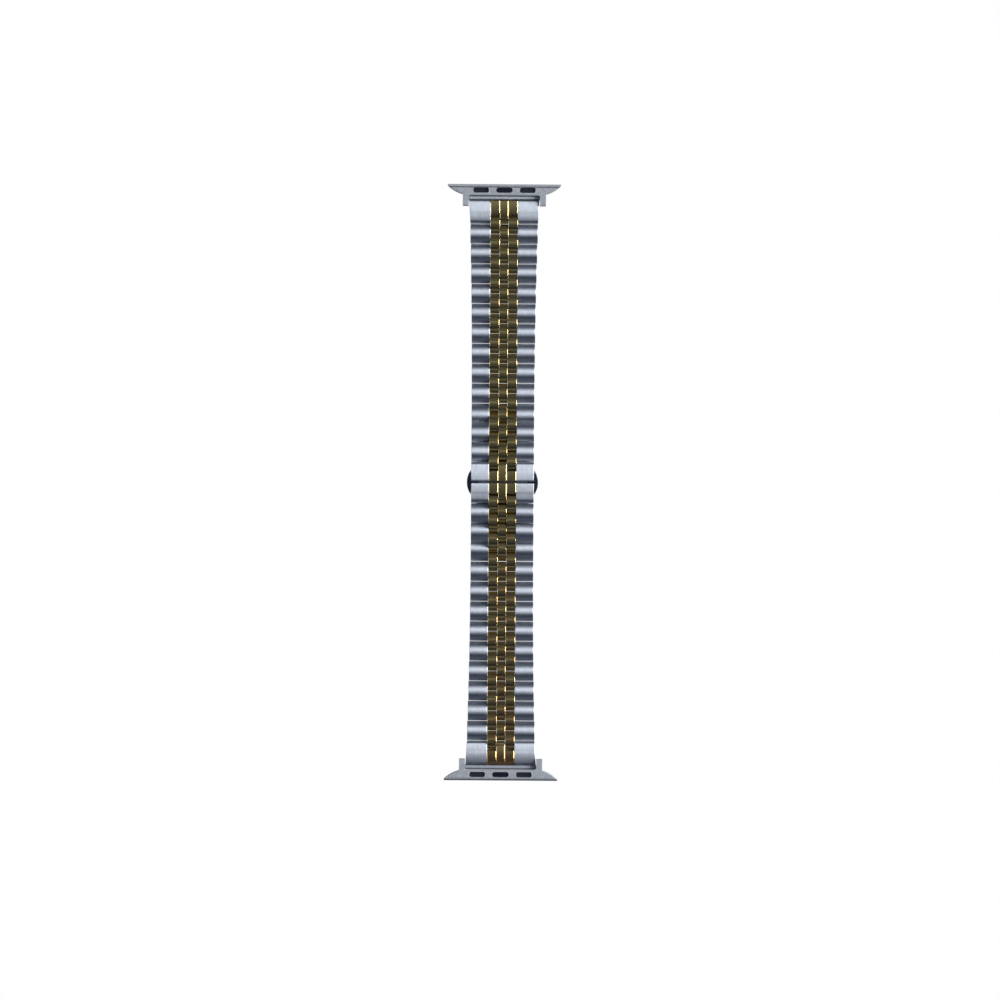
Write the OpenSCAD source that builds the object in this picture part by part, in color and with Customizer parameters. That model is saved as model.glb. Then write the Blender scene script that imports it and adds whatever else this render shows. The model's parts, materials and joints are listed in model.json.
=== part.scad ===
// Two-tone watch bracelet, lying face up along Y with its closed clasp in the middle.
// Each half is a chain: clasp link, twelve rows of links, end link and a sliding adapter.
// The clasp is a double folding one: two wings fold over a curved base and are held by two push buttons.

/* [Rows of links] */
// Length of one row along the band
pitch = 6.15; // [5.8:0.05:6.6]
// Thickness of a link at its crest
link_t = 2.9; // [2.6:0.05:3]
// Width of the band beside the clasp
clasp_w = 19.3; // [18.5:0.1:20.4]
// Width of the band at the last row
row_w = 20.4; // [19.3:0.1:20.6]
// Width of a centre bead
mid_w = 2.55; // [2:0.05:3.2]
// Width of a side bead
side_w = 2.8; // [2.3:0.05:3.2]
// Gap between two columns
column_gap = 0.1; // [0.06:0.01:0.2]
// Gap between the round ends of two links in a column
end_gap = 0.14; // [0.06:0.01:0.16]
// Radius of the domed top of a link, seen from the side
dome_r = 4.2; // [3.8:0.1:6]
// Radius of the flatter back of a link
back_r = 12; // [8:0.5:20]
// Bevel along the long edges of a link
bevel = 0.28; // [0.15:0.01:0.4]
// Radius of a link pin
pin_r = 0.5; // [0.35:0.05:0.6]
// Clearance round a link pin
pin_fit = 0.05; // [0.05:0.01:0.1]

/* [End links] */
// Length from the last row to the lug bar
end_link_l = 8.1; // [7.8:0.05:8.8]
// How far each side of an end link flares out towards the lug bar
end_link_flare = 0.45; // [0.2:0.05:0.6]
// Radius of the tube that holds the lug bar
lug_tube_r = 0.85; // [0.8:0.01:0.88]
// Radius of the lug bar
lug_bar_r = 0.55; // [0.45:0.05:0.6]
// Distance from the body of an end link to the lug bar
lug_neck_l = 0.8; // [0.6:0.05:0.85]
// Thickness of the gold strips that are let into an end link
inlay_t = 0.5; // [0.4:0.05:0.6]

/* [Adapters] */
// Length of the slide that enters the watch case
adapter_w = 35; // [33:0.5:38]
// Thickness of the adapter
adapter_t = 3.2; // [3:0.1:3.6]
// Distance from the lug bar to the outer edge
adapter_l = 4.2; // [4.1:0.05:4.8]
// Space between the two ears
ear_gap = 22; // [21.9:0.1:22.6]
// Clearance between an end link and each ear
ear_fit = 0.2; // [0.15:0.05:0.3]
// Thickness of an ear
ear_t = 1.85; // [1.5:0.05:2.2]
// Distance from the lug bar to the flat face between the ears
ear_depth = 0.95; // [0.95:0.01:1.1]
// Radius of the curved flank beside each ear
flank_r = 10; // [8:0.5:14]
// Rounding of the outer edge
nose_r = 0.9; // [0.5:0.05:1.2]
// Bevel along the flanks and ear ends
adapter_bevel = 0.25; // [0.1:0.05:0.4]
// Length of each of the three slots
slot_l = 5.1; // [4.5:0.1:5.8]
// Width of each slot
slot_w = 1.6; // [1.4:0.05:1.8]
// Distance between two slots
slot_pitch = 7.2; // [6.6:0.1:7.8]
// Travel of the sprung latch tab
tab_travel = 0.6; // [0.3:0.05:0.65]

/* [Clasp] */
// Radius of the underside of the base
arch_r = 60; // [50:1:80]
// Distance from the middle of the clasp to a wing hinge
hinge_y = 16.2; // [15.5:0.1:17]
// Thickness of the base
base_t = 1; // [0.8:0.05:1.1]
// Width of the base
base_w = 15; // [13:0.5:16]
// Thickness of a wing
wing_t = 0.9; // [0.7:0.05:1]
// Width of a wing
wing_w = 16; // [14:0.5:17]
// Clearance between base, wing and links
leaf_gap = 0.1; // [0.08:0.01:0.2]
// Radius of the hinge knuckles
knuckle_r = 1.15; // [1:0.05:1.2]
// Width of the knuckle in the middle of a wing
knuckle_w = 8.8; // [7:0.1:9.4]
// Radius of a hinge pin and of the bar in a clasp link
hinge_pin_r = 0.5; // [0.35:0.05:0.55]
// Gap between the two clasp links
clasp_gap = 0.5; // [0.4:0.05:0.8]
// Length of a clasp link
clasp_link_l = 6.25; // [6:0.05:6.8]
// Distance from the end of a clasp link to its bar
bar_inset = 2.2; // [2:0.05:2.3]
// Width of the tongue that carries a clasp link
tongue_w = 7; // [5:0.1:7.2]

/* [Push buttons] */
// Width of the housing across the band
housing_w = 17.5; // [17:0.1:18]
// Length of the housing along the band
housing_l = 10.2; // [10:0.1:11]
// Height of the housing below the base
housing_h = 1.9; // [1.8:0.05:2.2]
// Wall of the housing
housing_wall = 0.45; // [0.35:0.05:0.5]
// Radius of the rounded face of a button
button_r = 6.5; // [6:0.1:8]
// How far the crest of a button stands out beside the band
button_out = 1.35; // [1.1:0.05:1.6]
// Height of a button
button_h = 2.2; // [1.8:0.1:2.4]
// Travel of a button
button_travel = 0.8; // [0.5:0.05:0.85]
// Radius of the wire of the button spring
wire_r = 0.12; // [0.1:0.01:0.15]

/* [Hidden] */
rows = 12;
$fn = 48;
arc_fn = 256;
wire_sides = 6;
steps_per_turn = 12;
over = 1;
steel_color = "Silver";
gold_color = "DarkGoldenrod";
matte_color = "LightSlateGray";
dark_color = "DimGray";
rubber_color = "Black";

// Columns across the band, as distances from its middle
mid_x = mid_w / 2;
side_x0 = mid_x + column_gap;
side_x1 = side_x0 + side_w;
outer_x = side_x1 + column_gap;
function half_w(row) = (clasp_w + (row_w - clasp_w) * row / rows) / 2;

// A link's pins lie a quarter of the pitch from its ends, and its round ends are centred on them
pin_y = pitch / 4;
end_r = pin_y - end_gap / 2;
bore_r = pin_r + pin_fit;
pin_recess = 0.15;

// The closed clasp is a stack of arcs about one centre: base, wings, then the middle of the links
wing_r0 = arch_r + base_t + leaf_gap;
wing_r1 = wing_r0 + wing_t;
link_r = wing_r1 + 2 * leaf_gap + link_t / 2;
hinge_z = knuckle_r;
plate_foot = 0.3;
arch_z = plate_foot - sqrt(arch_r * arch_r - hinge_y * hinge_y);
function arc_z(r, y) = arch_z + sqrt(r * r - y * y);

// Clasp link: its bar is the origin of its own frame
link_bevel = 0.3;
bar_recess = 0.6;
bar_play = 0.1;
tongue_back = 1;
bar_s = clasp_gap / 2 + bar_inset;
bar_tilt = asin((clasp_gap + clasp_link_l) / 2 / link_r);
bar_point = [bar_s, arch_z + sqrt(link_r * link_r - bar_s * bar_s)];
first_pin = clasp_link_l - bar_inset - pin_y;
first_hinge = bar_point + first_pin * [cos(bar_tilt), -sin(bar_tilt)];

// Each row follows the arc of the clasp until it can lie flat on the surface under the band
rest_z = link_t / 2;
function limit(v, low, high) = max(low, min(high, v));
function row_tilt(p) =
    min(asin(limit(p[0] / link_r, 0, 0.9)) + asin(pitch / 2 / link_r),
        asin(limit((p[1] - rest_z) / pitch, 0, 0.9)));
function walk(p, n) =
    n == 0 ? [] :
    let (t = row_tilt(p)) concat([[p[0], p[1], t]], walk(p + pitch * [cos(t), -sin(t)], n - 1));
chain = walk(first_hinge, rows + 1);

// End link: its first pin is the origin of its own frame
end_link_lug_w = ear_gap - 2 * ear_fit;
end_link_w = end_link_lug_w - 2 * end_link_flare;
end_y0 = pin_y;
lug_y = end_y0 + end_link_l;
inlay_y0 = 2 * pin_y + end_r + column_gap;
inlay_fit = 0.05;
end_dome_r = 24;
end_body_y = lug_y - lug_neck_l;
end_taper = atan((end_link_lug_w - end_link_w) / 2 / lug_y);
lug_neck_t = 1.1;
floor_lap = 0.5;
end_frame = chain[rows];
lug_point = [end_frame[0], end_frame[1]] + lug_y * [cos(end_frame[2]), -sin(end_frame[2])];

// Adapter: the lug bar is the origin of its own frame
lug_bar_depth = 0.65;
lug_bore_depth = 0.7;
adapter_z0 = -rest_z;
adapter_z1 = adapter_z0 + adapter_t;
ear_end = -2.55;
ear_x = ear_gap / 2 + ear_t;
slot_shift = 0.2;
slot_y = (ear_depth + adapter_l - nose_r) / 2 + slot_shift;
groove_w = 0.16;
groove_t = 0.15;
tip_h = 0.5;
flank_start = 0.1;
cover_t = 0.4;
flange_t = 0.5;
flange_rim_l = 0.5;
flange_rim_w = 0.25;
pocket_roof = 0.15;
slot_clear = 0.08;
pad_recess = 0.3;
pad_lift = 0.1;
latch_coil_r = 0.75;
latch_wire_r = 0.08;

// Latch: the hooks of the wings stand in notches of the button slides
tongue_gap = 0.1;
tongue_reach = 0.7;
blade_y = bar_s + 1;
blade_corner = 1.2;
hook_x0 = 4.7;
hook_x1 = 5.7;
hook_y0 = blade_y + 0.15;
hook_y1 = hook_y0 + 0.7;
hook_lip = 0.25;
hook_lip_t = 0.4;
hook_lift = 0.2;
catch_gap = 0.1;
notch_gap = 0.15;
window_fit = 0.3;
swing_room = 0.5;
floor_z = arch_z + sqrt(arch_r * arch_r - housing_l * housing_l / 4) - housing_h;
slide_z0 = floor_z + housing_wall + leaf_gap;
slide_t = 1.05;
slide_x0 = 3.5;
slide_x1 = housing_w / 2 - housing_wall - 0.05;
slide_y = hook_y1 + 0.3;
button_clear = 0.1;
button_x0 = half_w(0) + button_clear;
button_x1 = half_w(0) + button_out;
neck_y = 3;
neck_lap = 0.25;
rivet_r = 0.5;
rivet_y = 2.4;
rivet_head_t = 0.25;
rivet_gap = 0.05;
boss_wall = 0.4;
tray_bevel = 0.3;
button_bevel = 0.2;
spring_r = 0.5;
spring_pocket = 1;
spring_fit = 0.08;
spring_end_fit = 0.05;

// A flat outline in (Y, Z), drawn out along X
module along_x(w) rotate([90, 0, 90]) linear_extrude(w, center = true) children();

// A bar along X
module x_bar(r, w) rotate([0, 90, 0]) cylinder(r = r, h = w, center = true);

// A drum along X with bevelled rims, whose crest gives a link its dome
module drum(r, w, c)
    rotate([0, 90, 0]) rotate_extrude($fn = 96)
        polygon([[0, -w / 2], [r - c, -w / 2], [r, c - w / 2], [r, w / 2 - c], [r - c, w / 2], [0, w / 2]]);

// A slot with round ends, of length l along X
module stadium(l, w) {
    for (s = [-1, 1]) translate([s * (l - w) / 2, 0]) circle(w / 2, $fn = 32);
    square([l - w, w], center = true);
}

// Puts a piece on one half of the band: 1 is the upper half, -1 the lower one
module on_half(half) mirror([0, half < 0 ? 1 : 0, 0]) children();

// Puts a piece in the frame of a row, whose origin is the pin that joins it to the row before
module in_row(half, row)
    on_half(half)
        translate([0, chain[row - 1][0], chain[row - 1][1]]) rotate([-chain[row - 1][2], 0, 0]) children();

module in_clasp_link(half)
    on_half(half) translate([0, bar_point[0], bar_point[1]]) rotate([-bar_tilt, 0, 0]) children();

module in_adapter(half)
    on_half(half) translate([0, lug_point[0], lug_point[1]]) children();

// One link or bead between x0 and x1, with round ends about its two pin bores
module link(x0, x1) {
    w = x1 - x0;
    translate([(x0 + x1) / 2, 0, 0]) difference() {
        intersection() {
            along_x(w) {
                for (s = [-1, 1]) translate([s * pin_y, 0]) circle(end_r);
                square([2 * pin_y, 2 * end_r], center = true);
            }
            translate([0, 0, link_t / 2 - dome_r]) drum(dome_r, w, bevel);
            translate([0, 0, back_r - link_t / 2]) drum(back_r, w, bevel / 2);
        }
        for (s = [-1, 1]) translate([0, s * pin_y, 0]) x_bar(bore_r, w + 2 * over);
    }
}

// The pair of gold side beads whose first pin is the origin
module side_beads()
    color(gold_color) translate([0, pin_y, 0]) {
        link(side_x0, side_x1);
        link(-side_x1, -side_x0);
    }

module link_pin(y, reach) color(steel_color) translate([0, y, 0]) x_bar(pin_r, 2 * (reach - pin_recess));

// One row: side beads, then the outer links and centre bead half a pitch further on
module link_row(half, row)
    in_row(half, row) {
        side_beads();
        translate([0, 3 * pin_y, 0]) {
            color(steel_color) link(outer_x, half_w(row));
            color(steel_color) link(-half_w(row), -outer_x);
            color(gold_color) link(-mid_x, mid_x);
        }
        link_pin(0, half_w(row - 1));
        link_pin(2 * pin_y, half_w(row));
    }

// Side view of a clasp link: a bevelled end at the middle of the clasp and a round end on the first pin
module clasp_link_side() {
    y0 = -bar_inset;
    c = link_bevel;
    h = link_t / 2;
    polygon([[y0, c - h], [y0 + c, -h], [first_pin, -h], [first_pin, h], [y0 + c, h], [y0, h - c]]);
    translate([first_pin, 0]) circle(end_r);
}

module clasp_link_form(x0, x1) {
    w = x1 - x0;
    mid_y = clasp_link_l / 2 - bar_inset;
    translate([(x0 + x1) / 2, 0, 0]) intersection() {
        along_x(w) clasp_link_side();
        translate([0, mid_y, link_t / 2 - end_dome_r]) drum(end_dome_r, w, bevel);
    }
}

// The steel outer links beside the clasp
module clasp_link(half)
    color(steel_color) in_clasp_link(half)
        for (s = [-1, 1]) difference() {
            clasp_link_form(s > 0 ? outer_x : -half_w(0), s > 0 ? half_w(0) : -outer_x);
            translate([0, first_pin, 0]) x_bar(bore_r, clasp_w + 2 * over);
            x_bar(hinge_pin_r + pin_fit, clasp_w - 2 * (bar_recess - bar_play));
        }

// The three gold strips beside the clasp, one piece that straddles the tongue of the wing
module clasp_inlay(half) {
    strip_end = first_pin - end_r - column_gap;
    roof = link_t / 2 - inlay_t;
    color(gold_color) in_clasp_link(half)
        difference() {
            clasp_link_form(-side_x1, side_x1);
            for (s = [-1, 1])
                translate([s * (mid_x + side_x1 + over) / 2, strip_end + pitch / 2, 0])
                    cube([side_x1 - mid_x + over, pitch, link_t + 2 * over], center = true);
            translate([-tongue_w / 2 - tongue_gap, -bar_inset - over, -link_t])
                cube([tongue_w + 2 * tongue_gap, bar_inset + over + tongue_back, link_t + roof]);
            inlay_grooves(-bar_inset - over, strip_end + over);
            translate([0, first_pin, 0]) x_bar(bore_r, clasp_w);
            x_bar(hinge_pin_r + pin_fit, clasp_w);
        }
}

// The two fine grooves between the three strips
module inlay_grooves(y0, y1)
    for (s = [-1, 1])
        translate([s * (mid_x + column_gap / 2), (y0 + y1) / 2, link_t / 2])
            cube([column_gap, y1 - y0, inlay_t], center = true);

module clasp_bar(half)
    color(steel_color) in_clasp_link(half) x_bar(hinge_pin_r, clasp_w - 2 * bar_recess);

// A curved sheet between two radii, from y0 to y1
module arc_sheet(r0, r1, y0, y1, w)
    along_x(w) translate([0, arch_z]) intersection() {
        difference() {
            circle(r1, $fn = arc_fn);
            circle(r0, $fn = arc_fn);
        }
        translate([y0, 0]) square([y1 - y0, r1 + over]);
    }

module base_blank() {
    arc_sheet(arch_r, arch_r + base_t, -hinge_y, hinge_y, base_w);
    for (s = [-1, 1]) translate([0, s * hinge_y, hinge_z]) x_bar(knuckle_r, base_w);
}

// The curved base, with two knuckles at each end and windows for the hooks
module clasp_base()
    color(steel_color) difference() {
        base_blank();
        for (s = [-1, 1]) {
            translate([0, s * hinge_y, hinge_z]) {
                x_bar(hinge_pin_r + pin_fit, base_w + 2 * over);
                x_bar(knuckle_r + leaf_gap, knuckle_w + 2 * leaf_gap);
            }
            translate([0, s * (hinge_y + knuckle_r), hinge_z])
                cube([knuckle_w + 2 * leaf_gap, 2 * knuckle_r, 2 * (knuckle_r + over)], center = true);
            on_half(s) for (t = [-1, 1])
                translate([t * (hook_x0 + hook_x1) / 2, 0, floor_z]) hook_window();
        }
        rivet_posts(rivet_r + pin_fit);
    }

// A window for a hook, with room for the hook to swing out
module hook_window() {
    w = hook_x1 - hook_x0 + 2 * window_fit;
    y0 = hook_y0 - window_fit;
    y1 = hook_y1 + swing_room;
    translate([-w / 2, y0, 0]) cube([w, y1 - y0, housing_h + base_t + over]);
}

module wing_hinge_pins()
    color(steel_color) for (s = [-1, 1])
        translate([0, s * hinge_y, hinge_z]) x_bar(hinge_pin_r, base_w - 2 * bar_play);

// A rectangle of width w from y0 to y1, with its two corners at y0 cut off by c
module blade_plan(w, y0, y1, c)
    polygon([
        [c - w / 2, y0], [w / 2 - c, y0], [w / 2, y0 + c], [w / 2, y1], [-w / 2, y1], [-w / 2, y0 + c]
    ]);

// A wing: curved sheet, knuckle on the base, tongue with a knuckle on the clasp bar, and two hooks
module wing(half)
    color(steel_color) on_half(half) difference() {
        union() {
            intersection() {
                arc_sheet(wing_r0, wing_r1, blade_y, hinge_y, wing_w);
                linear_extrude(bar_point[1] + over) blade_plan(wing_w, blade_y, hinge_y, blade_corner);
            }
            translate([0, hinge_y, hinge_z]) x_bar(knuckle_r, knuckle_w);
            arc_sheet(wing_r0, wing_r1, bar_s - tongue_reach, blade_y + over, tongue_w);
            translate([0, bar_point[0], bar_point[1]]) x_bar(link_t / 2 - inlay_t - tongue_gap, tongue_w);
            translate([-tongue_w / 2, bar_s - tongue_reach, arc_z(wing_r0, bar_s) + wing_t / 2])
                cube([tongue_w, 2 * tongue_reach, bar_point[1] - arc_z(wing_r0, bar_s) - wing_t / 2]);
            for (s = [-1, 1]) hook(s);
        }
        translate([0, hinge_y, hinge_z]) {
            x_bar(hinge_pin_r + pin_fit, wing_w + 2 * over);
            for (s = [-1, 1])
                translate([s * (knuckle_w / 2 + wing_w / 2), 0, 0]) x_bar(knuckle_r + leaf_gap, wing_w);
        }
        translate([0, bar_point[0], bar_point[1]]) x_bar(hinge_pin_r + pin_fit, tongue_w + 2 * over);
    }

// A hook under the blade of a wing, with its lip towards the middle of the band
module hook(s) {
    z0 = slide_z0 + hook_lift;
    x0 = s > 0 ? hook_x0 + hook_lip : -hook_x1;
    translate([x0, hook_y0, z0])
        cube([hook_x1 - hook_x0 - hook_lip, hook_y1 - hook_y0, arc_z(wing_r0, hook_y0) + wing_t / 2 - z0]);
    translate([s > 0 ? hook_x0 : -hook_x0 - 2 * hook_lip, hook_y0, z0])
        cube([2 * hook_lip, hook_y1 - hook_y0, hook_lip_t]);
}

// Outline of the tray from one side, l long, bevelled at the bottom
module tray_outline(l) {
    c = tray_bevel;
    z1 = floor_z + housing_h + over;
    polygon([
        [-l / 2, floor_z + c], [c - l / 2, floor_z], [l / 2 - c, floor_z], [l / 2, floor_z + c],
        [l / 2, z1], [-l / 2, z1]
    ]);
}

// The tray under the base in which the buttons slide
module latch_housing()
    color(dark_color) difference() {
        intersection() {
            along_x(housing_w) tray_outline(housing_l);
            rotate([0, 0, 90]) along_x(housing_l) tray_outline(housing_w);
        }
        translate([0, 0, arch_z]) difference() {
            x_bar(arch_r + 2 * over, housing_w + 2 * over, $fn = arc_fn);
            x_bar(arch_r - leaf_gap / 2, housing_w + 4 * over, $fn = arc_fn);
        }
        difference() {
            translate([housing_wall - housing_w / 2, -slide_y - leaf_gap, floor_z + housing_wall])
                cube([housing_w - 2 * housing_wall, 2 * (slide_y + leaf_gap), housing_h + over]);
            rivet_posts(rivet_r + boss_wall);
        }
        difference() {
            translate([-housing_w, -neck_y - leaf_gap, floor_z + housing_wall])
                cube([2 * housing_w, 2 * (neck_y + leaf_gap), housing_h + over]);
            rivet_posts(rivet_r + boss_wall);
        }
        rivet_posts(rivet_r + pin_fit);
    }

// Round posts at the places of the two rivets, through the whole height of tray and base
module rivet_posts(r)
    for (s = [-1, 1])
        translate([0, s * rivet_y, floor_z - over]) cylinder(r = r, h = housing_h + base_t + 3 * over);

module housing_rivets()
    color(steel_color) for (s = [-1, 1]) translate([0, s * rivet_y, floor_z - rivet_gap - rivet_head_t]) {
        cylinder(r = rivet_r, h = arc_z(arch_r + base_t, rivet_y) - floor_z + rivet_head_t);
        cylinder(r = rivet_r + boss_wall, h = rivet_head_t);
    }

// A push button: half-moon head, neck through the end wall, and slide with notches for the hooks
module push_button(s)
    color(dark_color) mirror([s < 0 ? 1 : 0, 0, 0]) {
        difference() {
            translate([slide_x0, -slide_y, slide_z0]) cube([slide_x1 - slide_x0, 2 * slide_y, slide_t]);
            for (half = [-1, 1]) on_half(half)
                translate([hook_x0 - catch_gap, hook_y0 - notch_gap, slide_z0 - over])
                    cube([hook_x1 - hook_x0 + button_travel + 2 * catch_gap, slide_y, slide_t + 2 * over]);
            translate([slide_x0 - over, 0, slide_z0 + slide_t / 2]) rotate([0, 90, 0])
                cylinder(r = spring_r + wire_r + spring_fit, h = spring_pocket + over);
        }
        translate([slide_x1 - neck_lap, -neck_y, slide_z0])
            cube([button_x0 + neck_lap - slide_x1 + neck_lap, 2 * neck_y, slide_t]);
        intersection() {
            translate([button_x1 - button_r, 0, floor_z + housing_wall])
                bevelled_disc(button_r, 0, button_h, button_bevel);
            translate([button_x0, -button_r, floor_z]) cube([button_r, 2 * button_r, button_h + 2 * over]);
        }
    }

// A wound wire about Z: rings of points along a helix, closed at both ends
module coil(r, wire, l, turns) {
    m = wire_sides;
    steps = round(steps_per_turn * turns);
    ring = [for (k = [0:m - 1]) [r + wire * cos(360 * k / m), wire * sin(360 * k / m)]];
    points = [for (n = [0:steps], q = ring)
        let (a = 360 * n / steps_per_turn)
            [q[0] * cos(a), q[0] * sin(a), q[1] + wire + (l - 2 * wire) * n / steps]];
    sides = [for (n = [0:steps - 1], k = [0:m - 1])
        let (a = m * n + k, b = m * n + (k + 1) % m) each [[a, b, b + m], [a, b + m, a + m]]];
    first = [for (k = [1:m - 2]) [0, k + 1, k]];
    last = [for (k = [1:m - 2]) [m * steps, m * steps + k, m * steps + k + 1]];
    polyhedron(points, concat(sides, first, last));
}

module button_spring() {
    l = 2 * (slide_x0 + spring_pocket - spring_end_fit);
    color(steel_color) translate([-l / 2, 0, slide_z0 + slide_t / 2]) rotate([0, 90, 0])
        coil(spring_r, wire_r, l, 9);
}

// Side view of an end link: round about its first pin, then straight to the neck of the lug tube
module end_link_side() {
    translate([2 * pin_y, 0]) circle(end_r);
    translate([2 * pin_y, -link_t / 2]) square([end_body_y - 2 * pin_y, link_t]);
}

// The steel bar on one side of an end link, whose outer face and bevel lean with the taper
module end_link_bar(s)
    intersection() {
        along_x(end_link_lug_w + 2 * over) end_link_side();
        translate([s * end_link_w / 2, 0, 0]) rotate([0, 0, -s * end_taper])
            translate([-s * end_link_w / 2, (2 * pin_y + end_body_y) / 2, link_t / 2 - end_dome_r])
                drum(end_dome_r, end_link_w, bevel);
        translate([s > 0 ? outer_x : -end_link_lug_w, -link_t, -link_t])
            cube([end_link_lug_w - outer_x, 2 * lug_y, 2 * link_t]);
    }

// The steel body of an end link: two bars, the floor under the gold strips and the tube for the lug bar
module end_link(half)
    color(steel_color) in_row(half, rows + 1) {
        difference() {
            union() {
                for (s = [-1, 1]) end_link_bar(s);
                translate([-outer_x - floor_lap, inlay_y0, -link_t / 2])
                    cube([2 * (outer_x + floor_lap), end_body_y - inlay_y0, link_t - inlay_t - inlay_fit]);
                translate([0, (end_body_y - floor_lap + lug_y) / 2, 0])
                    cube([end_link_lug_w, lug_y - end_body_y + floor_lap, lug_neck_t], center = true);
                translate([0, lug_y, 0]) x_bar(lug_tube_r, end_link_lug_w);
            }
            translate([0, 2 * pin_y, 0]) x_bar(bore_r, 2 * end_link_lug_w);
            translate([0, lug_y, 0]) x_bar(lug_bar_r + pin_fit, 2 * end_link_lug_w);
        }
        link_pin(0, half_w(rows));
        link_pin(2 * pin_y, end_link_w / 2);
    }

// The gold strips of an end link, and the side beads that hinge it to the last row
module end_inlay(half)
    in_row(half, rows + 1) {
        color(gold_color) difference() {
            intersection() {
                along_x(2 * side_x1) end_link_side();
                translate([0, (2 * pin_y + end_body_y) / 2, link_t / 2 - end_dome_r])
                    drum(end_dome_r, 2 * side_x1, bevel);
                union() {
                    translate([-mid_x, -over, -link_t])
                        cube([2 * mid_x, inlay_y0 - inlay_fit + over, 2 * link_t]);
                    translate([-side_x1, inlay_y0, link_t / 2 - inlay_t]) cube([2 * side_x1, lug_y, link_t]);
                    translate([-mid_x, 0, link_t / 2 - inlay_t]) cube([2 * mid_x, lug_y, link_t]);
                }
            }
            inlay_grooves(inlay_y0 - over, lug_y);
            translate([0, 2 * pin_y, 0]) x_bar(bore_r, 2 * side_x1);
        }
        side_beads();
    }

module lug_bar(half)
    color(steel_color) in_adapter(half) x_bar(lug_bar_r, ear_gap + 2 * lug_bar_depth * ear_t);

// The corner of the plan that a flank's circle has to pass, and the centre of that circle
flank_a = [ear_x, ear_depth + flank_start];
flank_b = [adapter_w / 2, adapter_l - tip_h];
flank_d = (flank_b - flank_a) / norm(flank_b - flank_a);
flank_c = (flank_a + flank_b) / 2
    + sqrt(pow(flank_r, 2) - pow(norm(flank_b - flank_a) / 2, 2)) * [-flank_d[1], flank_d[0]];

// A disc of radius r from z0 to z1 with a bevel c at both rims
module bevelled_disc(r, z0, z1, c)
    rotate_extrude($fn = 128)
        polygon([[0, z0], [r - c, z0], [r, z0 + c], [r, z1 - c], [r - c, z1], [0, z1]]);

// The adapter from above: middle block, two ears, and a bevelled round flank on each side
module adapter_blank() {
    translate([-ear_x, ear_depth, adapter_z0]) cube([2 * ear_x, adapter_l - ear_depth, adapter_t]);
    for (s = [-1, 1]) {
        translate([s * (ear_gap + ear_t) / 2 - ear_t / 2, ear_end, adapter_z0])
            cube([ear_t, ear_depth - ear_end + over, adapter_t]);
        intersection() {
            translate([s * flank_c[0], flank_c[1], 0])
                bevelled_disc(flank_r, adapter_z0, adapter_z1, adapter_bevel);
            translate([-adapter_w / 2, ear_depth, adapter_z0])
                cube([adapter_w, adapter_l - ear_depth, adapter_t]);
        }
    }
}

// The adapter from the side: bevelled ear ends and a rounded outer edge
module adapter_side() {
    r = nose_r;
    c = adapter_bevel;
    y1 = adapter_l - r;
    polygon([
        [ear_end, adapter_z0 + c], [ear_end + c, adapter_z0], [y1, adapter_z0], [y1, adapter_z1],
        [ear_end + c, adapter_z1], [ear_end, adapter_z1 - c]
    ]);
    translate([y1 - over, adapter_z0 + r]) square([r + over, adapter_t - 2 * r]);
    for (z = [adapter_z0 + r, adapter_z1 - r]) translate([y1, z]) circle(r);
}

module at_slots(places)
    for (n = places) translate([n * slot_pitch, slot_y, 0]) children();

// The adapter body: slide with curved flanks, two ears and three slots
module adapter(half)
    color(matte_color) in_adapter(half) difference() {
        intersection() {
            adapter_blank();
            along_x(adapter_w + 2 * over) adapter_side();
        }
        at_slots([-1:1]) translate([0, 0, adapter_z0 - over]) linear_extrude(adapter_t + 2 * over)
            stadium(slot_l, slot_w);
        at_slots([0]) translate([0, 0, adapter_z0 - over]) linear_extrude(pocket_z1 - adapter_z0 + over)
            pocket_outline(0);
        x_bar(lug_bar_r, ear_gap + 2 * lug_bore_depth * ear_t);
        translate([0, adapter_l - nose_r, adapter_z1])
            cube([adapter_w + 2 * over, groove_w, 2 * groove_t], center = true);
    }

// Outline of the pocket under the middle slot, drawn in by a clearance
module pocket_outline(c)
    stadium(slot_l + 2 * flange_rim_l - 2 * c, slot_w + 2 * flange_rim_w - 2 * c);

module grip_pads(half)
    color(rubber_color) in_adapter(half)
        at_slots([-1, 1]) translate([0, 0, adapter_z0 + pad_lift])
            linear_extrude(adapter_t - pad_recess - pad_lift)
                stadium(slot_l - 2 * slot_clear, slot_w - 2 * slot_clear);

// The sprung tab in the middle slot: a stem and a flange that holds it in the pocket
tab_top = adapter_z1 - pad_recess;
pocket_z1 = adapter_z1 - adapter_t / 2 + pocket_roof;
flange_z1 = pocket_z1 - slot_clear;
module latch_tab(half)
    color(steel_color) in_adapter(half) at_slots([0]) {
        translate([0, 0, flange_z1 - flange_t]) linear_extrude(tab_top - flange_z1 + flange_t)
            stadium(slot_l - 2 * slot_clear, slot_w - 2 * slot_clear);
        translate([0, 0, flange_z1 - flange_t]) linear_extrude(flange_t) pocket_outline(slot_clear);
    }

module latch_cover(half)
    color(matte_color) in_adapter(half) at_slots([0])
        translate([0, 0, adapter_z0]) linear_extrude(cover_t) pocket_outline(slot_clear / 2);

module latch_spring(half)
    color(steel_color) in_adapter(half) at_slots([0])
        translate([0, 0, adapter_z0 + cover_t])
            coil(latch_coil_r, latch_wire_r, flange_z1 - flange_t - adapter_z0 - cover_t, 2);

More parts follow.
